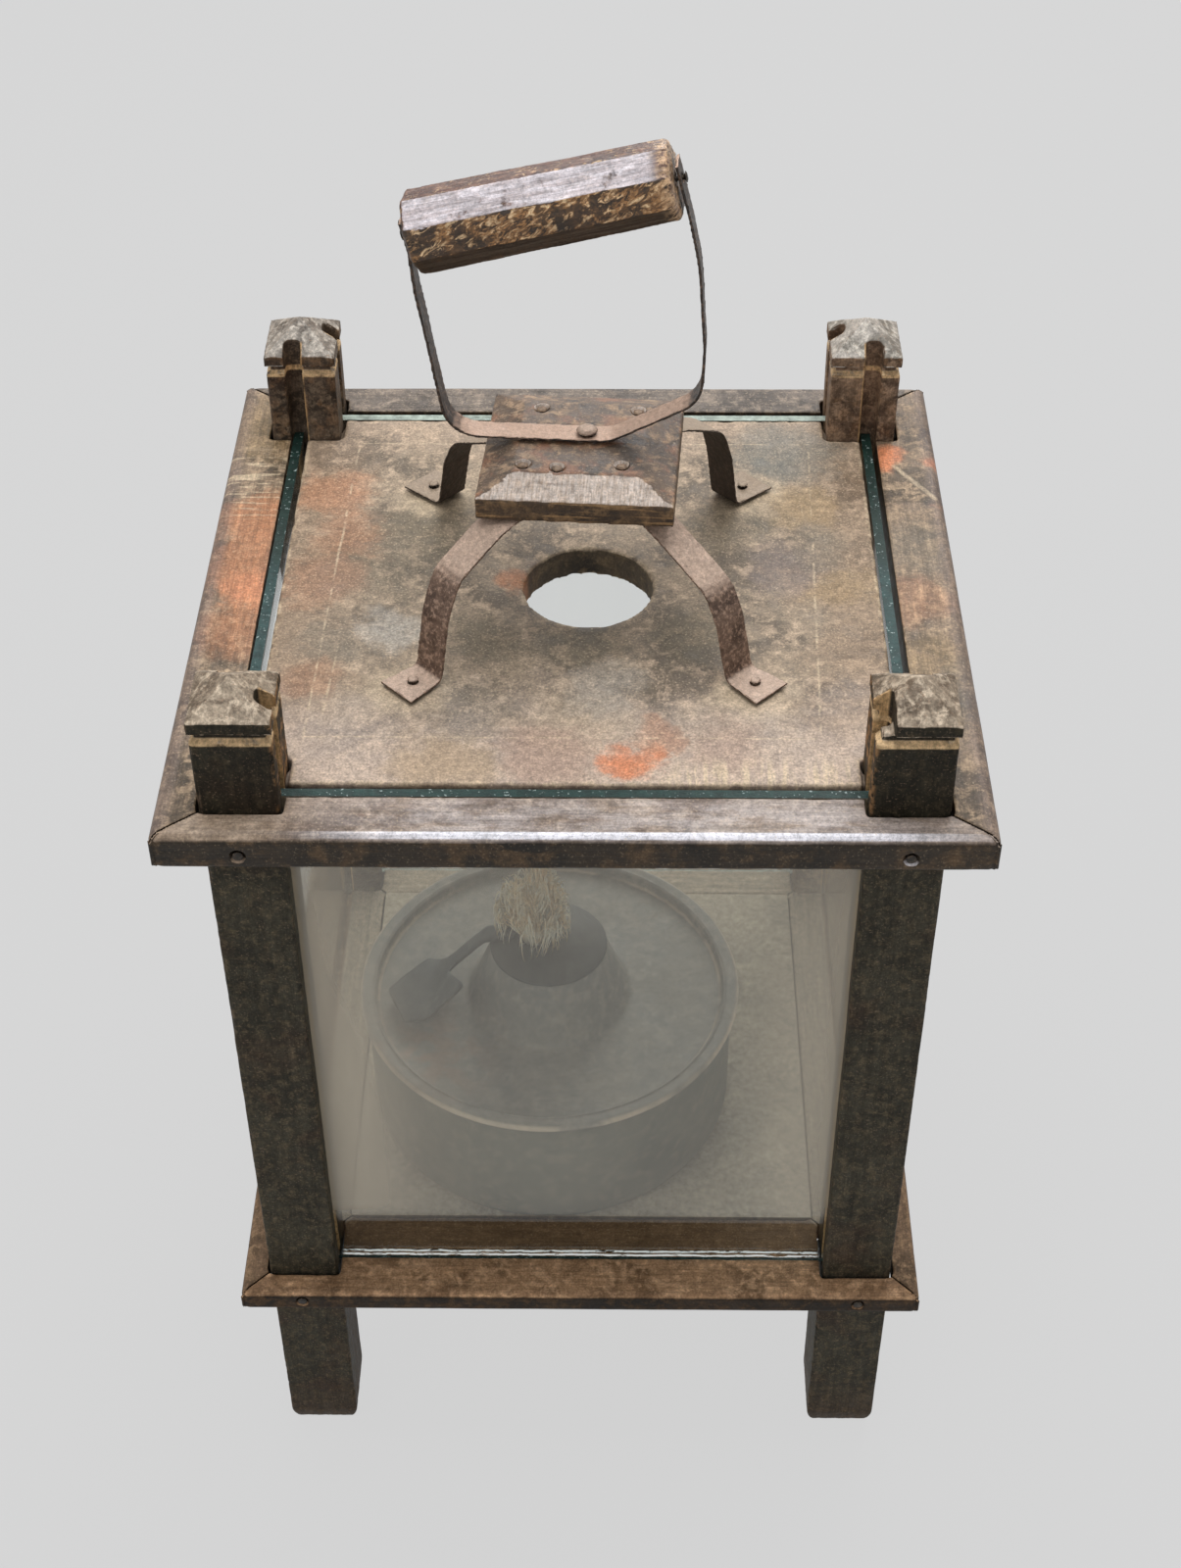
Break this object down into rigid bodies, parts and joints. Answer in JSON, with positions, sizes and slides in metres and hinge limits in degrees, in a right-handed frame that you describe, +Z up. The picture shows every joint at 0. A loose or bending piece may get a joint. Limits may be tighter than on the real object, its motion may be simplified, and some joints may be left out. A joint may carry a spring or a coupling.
{
  "type": "oil lantern",
  "caption": "Square wooden lantern with lift-out glass panes, a roof board with a smoke hole, a swivelling bail handle on iron straps and an oil lamp with a tow wick inside.",
  "frame": {"origin": "on the ground below the centre of the two square frames", "axes": "+Z up, +X to the right and +Y away from the front pane"},
  "size_m": [0.3, 0.293, 0.5723],
  "materials": {
    "post_wood": "old dark wood, worn and dry",
    "frame_wood": "old dark varnish, worn along the edges",
    "board_wood": "stained and weathered",
    "block_wood": "weathered, grey along its bevels",
    "grip_wood": "dark and polished by the hand",
    "strap_iron": "forged and evenly rusted",
    "nail_iron": "rusted",
    "lamp_iron": "dark sheet iron with soot and dust",
    "tow": "frayed flax fibre",
    "glass": "old window glass with a film of dust"
  },
  "bodies": {
    "frame": {"post_front_left": "post_wood", "post_front_right": "post_wood", "post_back_left": "post_wood", "post_back_right": "post_wood", "top_rail_front": "frame_wood", "top_rail_right": "frame_wood", "top_rail_back": "frame_wood", "top_rail_left": "frame_wood", "top_nail_front_a": "nail_iron", "top_nail_front_b": "nail_iron", "top_nail_right_a": "nail_iron", "top_nail_right_b": "nail_iron", "top_nail_back_a": "nail_iron", "top_nail_back_b": "nail_iron", "top_nail_left_a": "nail_iron", "top_nail_left_b": "nail_iron", "base_rail_front": "frame_wood", "base_rail_right": "frame_wood", "base_rail_back": "frame_wood", "base_rail_left": "frame_wood", "base_nail_front_a": "nail_iron", "base_nail_front_b": "nail_iron", "base_nail_right_a": "nail_iron", "base_nail_right_b": "nail_iron", "base_nail_back_a": "nail_iron", "base_nail_back_b": "nail_iron", "base_nail_left_a": "nail_iron", "base_nail_left_b": "nail_iron", "floor_board": "board_wood", "roof_board": "board_wood", "strap_upper": "strap_iron", "strap_lower": "strap_iron", "foot_nail_upper_plus": "nail_iron", "foot_nail_upper_minus": "nail_iron", "foot_nail_lower_plus": "nail_iron", "foot_nail_lower_minus": "nail_iron", "handle_block": "block_wood", "block_nail_front_left": "nail_iron", "block_nail_front_middle": "nail_iron", "block_nail_front_right": "nail_iron", "block_nail_back_left": "nail_iron", "block_nail_back_right": "nail_iron", "swivel_rivet": "nail_iron"},
    "front_glass": {"pane_front": "glass"},
    "right_glass": {"pane_right": "glass"},
    "back_glass": {"pane_back": "glass"},
    "left_glass": {"pane_left": "glass"},
    "bail": {"bail_strap": "strap_iron"},
    "handle": {"grip": "grip_wood", "grip_nail_right": "nail_iron", "grip_nail_left": "nail_iron"},
    "lamp": {"lamp_font": "lamp_iron"},
    "lid": {"lamp_lid": "lamp_iron"},
    "wick_holder": {"wick_cap": "lamp_iron", "wick_arm": "lamp_iron", "wick_arm_rivet": "nail_iron"},
    "tow_wick": {"wick": "tow"}
  },
  "joints": [
    {"name": "front_pane_lift", "type": "slide", "parent": "frame", "child": "front_glass", "axis": [0, 0, 1], "range_m": [0, 0.33]},
    {"name": "right_pane_lift", "type": "slide", "parent": "frame", "child": "right_glass", "axis": [0, 0, 1], "range_m": [0, 0.33]},
    {"name": "back_pane_lift", "type": "slide", "parent": "frame", "child": "back_glass", "axis": [0, 0, 1], "range_m": [0, 0.33]},
    {"name": "left_pane_lift", "type": "slide", "parent": "frame", "child": "left_glass", "axis": [0, 0, 1], "range_m": [0, 0.33]},
    {"name": "bail_swivel", "type": "hinge", "parent": "frame", "child": "bail", "pos_m": [0.0033, 0, 0.4533], "axis": [0, 0, 1], "continuous": true},
    {"name": "grip_spin", "type": "hinge", "parent": "bail", "child": "handle", "pos_m": [-0.01186, 0.00106, 0.5466], "axis": [0.9654, -0.0675, 0.2521], "continuous": true},
    {"name": "lamp_slide", "type": "slide", "parent": "frame", "child": "lamp", "axis": [0, 1, 0], "range_m": [-0.01, 0.055]},
    {"name": "lid_lift", "type": "slide", "parent": "lamp", "child": "lid", "axis": [0, 0, 1], "range_m": [0, 0.04]},
    {"name": "wick_holder_lift", "type": "slide", "parent": "lid", "child": "wick_holder", "axis": [0, 0, 1], "range_m": [0, 0.04]},
    {"name": "wick_feed", "type": "slide", "parent": "wick_holder", "child": "tow_wick", "axis": [0, 0, 1], "range_m": [0, 0.012]}
  ]
}
